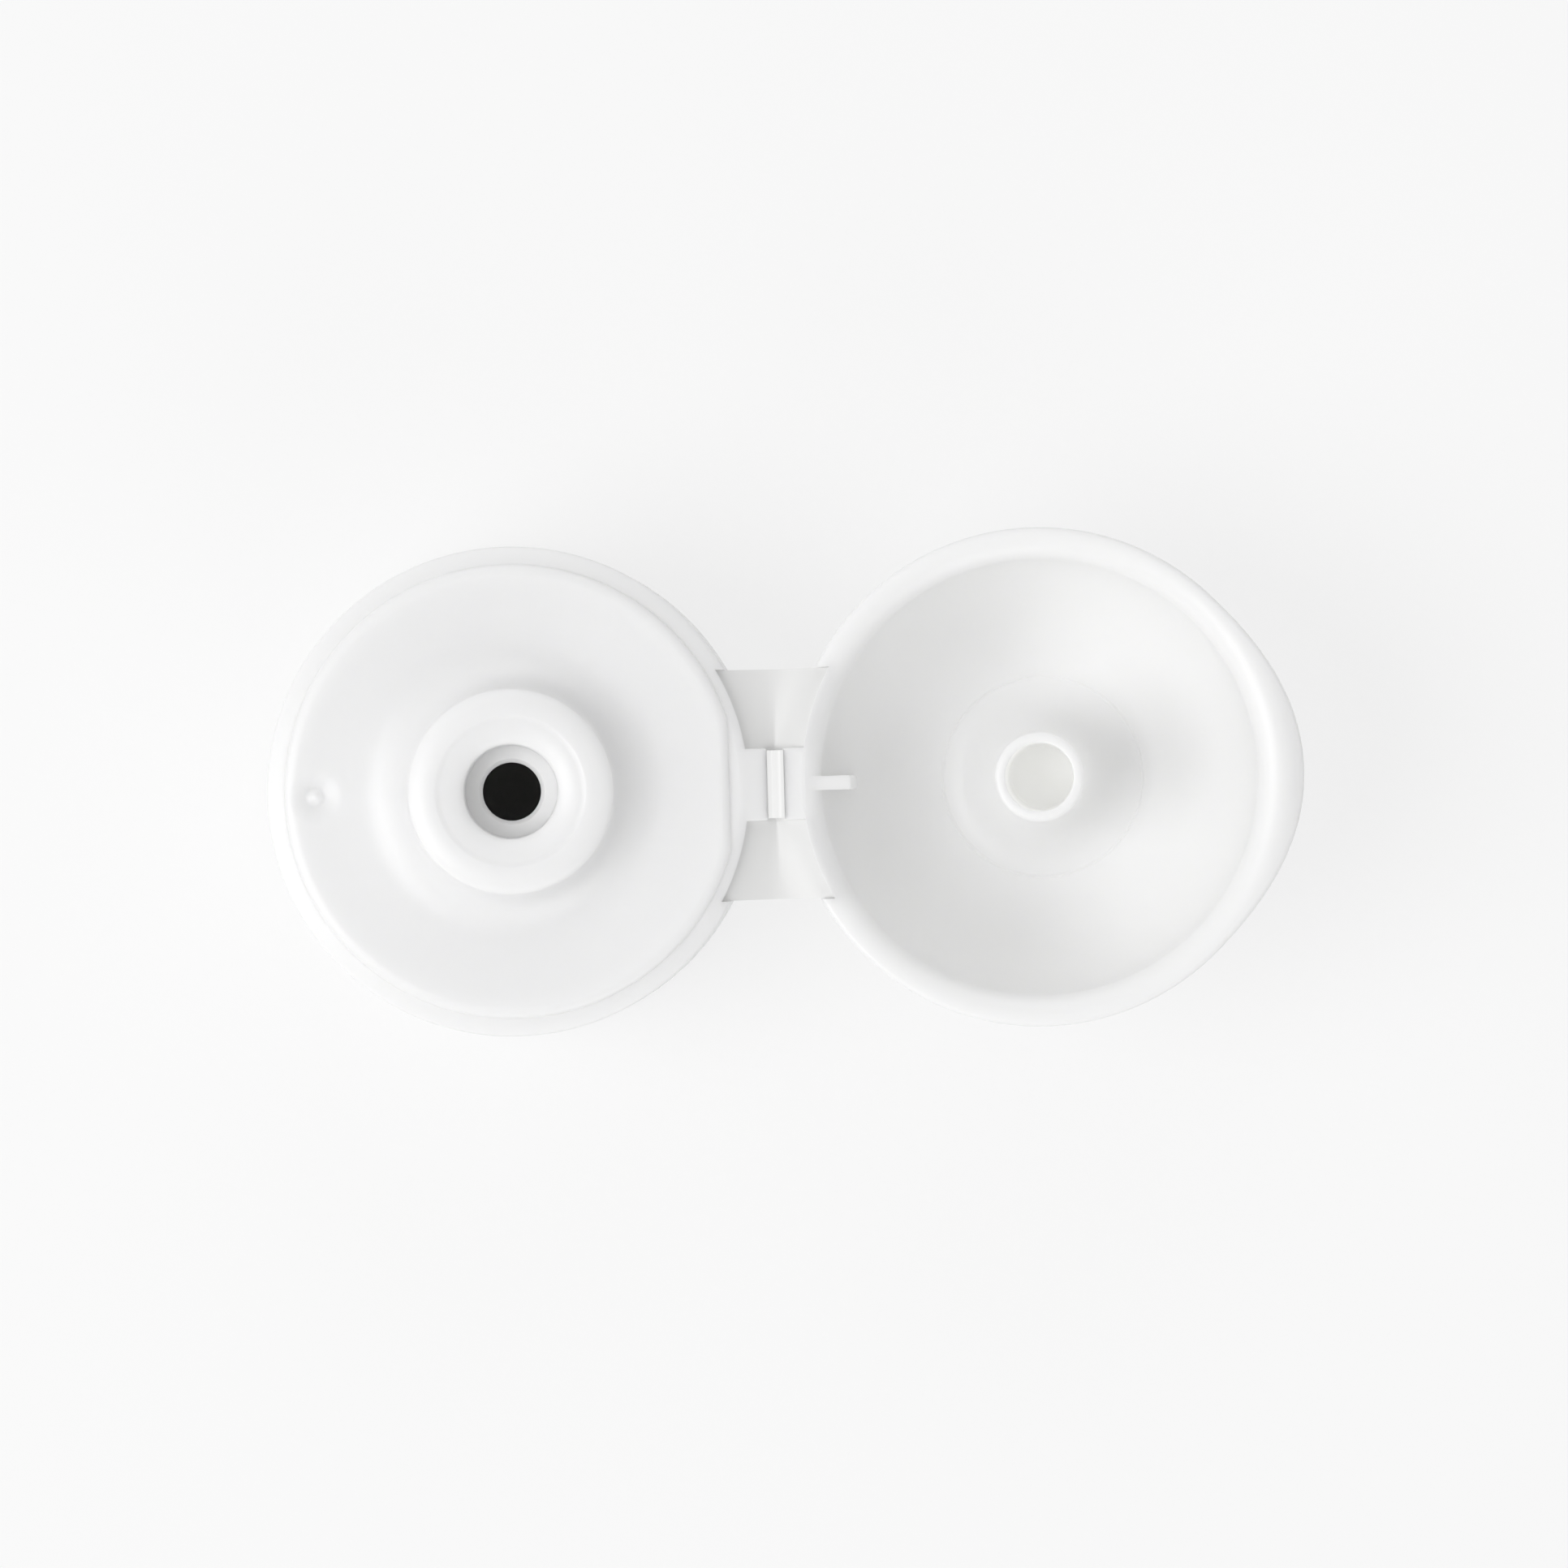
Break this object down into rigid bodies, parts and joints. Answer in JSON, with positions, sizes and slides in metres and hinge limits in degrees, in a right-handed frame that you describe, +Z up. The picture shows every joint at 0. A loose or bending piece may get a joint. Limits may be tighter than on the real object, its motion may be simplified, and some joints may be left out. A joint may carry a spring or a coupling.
{
  "type": "flip top screw cap",
  "caption": "Flip top screw cap with an internal neck thread, a flared pouring nozzle, and a domed snap lid on a living hinge, standing open.",
  "frame": {"origin": "middle of the open cap's footprint, on the plane of the skirt's foot", "axes": "+Z up along the screw axis, out of the nozzle; +X from the body towards the open lid; +Y along the fold line of the hinge"},
  "size_m": [0.0588, 0.0282, 0.0181],
  "materials": {
    "shell_plastic": "smooth white polypropylene, softly glossy",
    "lid_plastic": "smooth white polypropylene, softly glossy",
    "hinge_film": "thin white polypropylene film, slightly translucent"
  },
  "bodies": {
    "body": {"cap_body": "shell_plastic", "living_hinge": "hinge_film"},
    "lid": {"flip_lid": "lid_plastic"}
  },
  "joints": [
    {"name": "lid_fold", "type": "hinge", "parent": "body", "child": "lid", "pos_m": [-0.00049, 0, 0.01505], "axis": [0, -1, 0], "range_deg": [0, 177.5], "deforming": ["living_hinge"]}
  ]
}
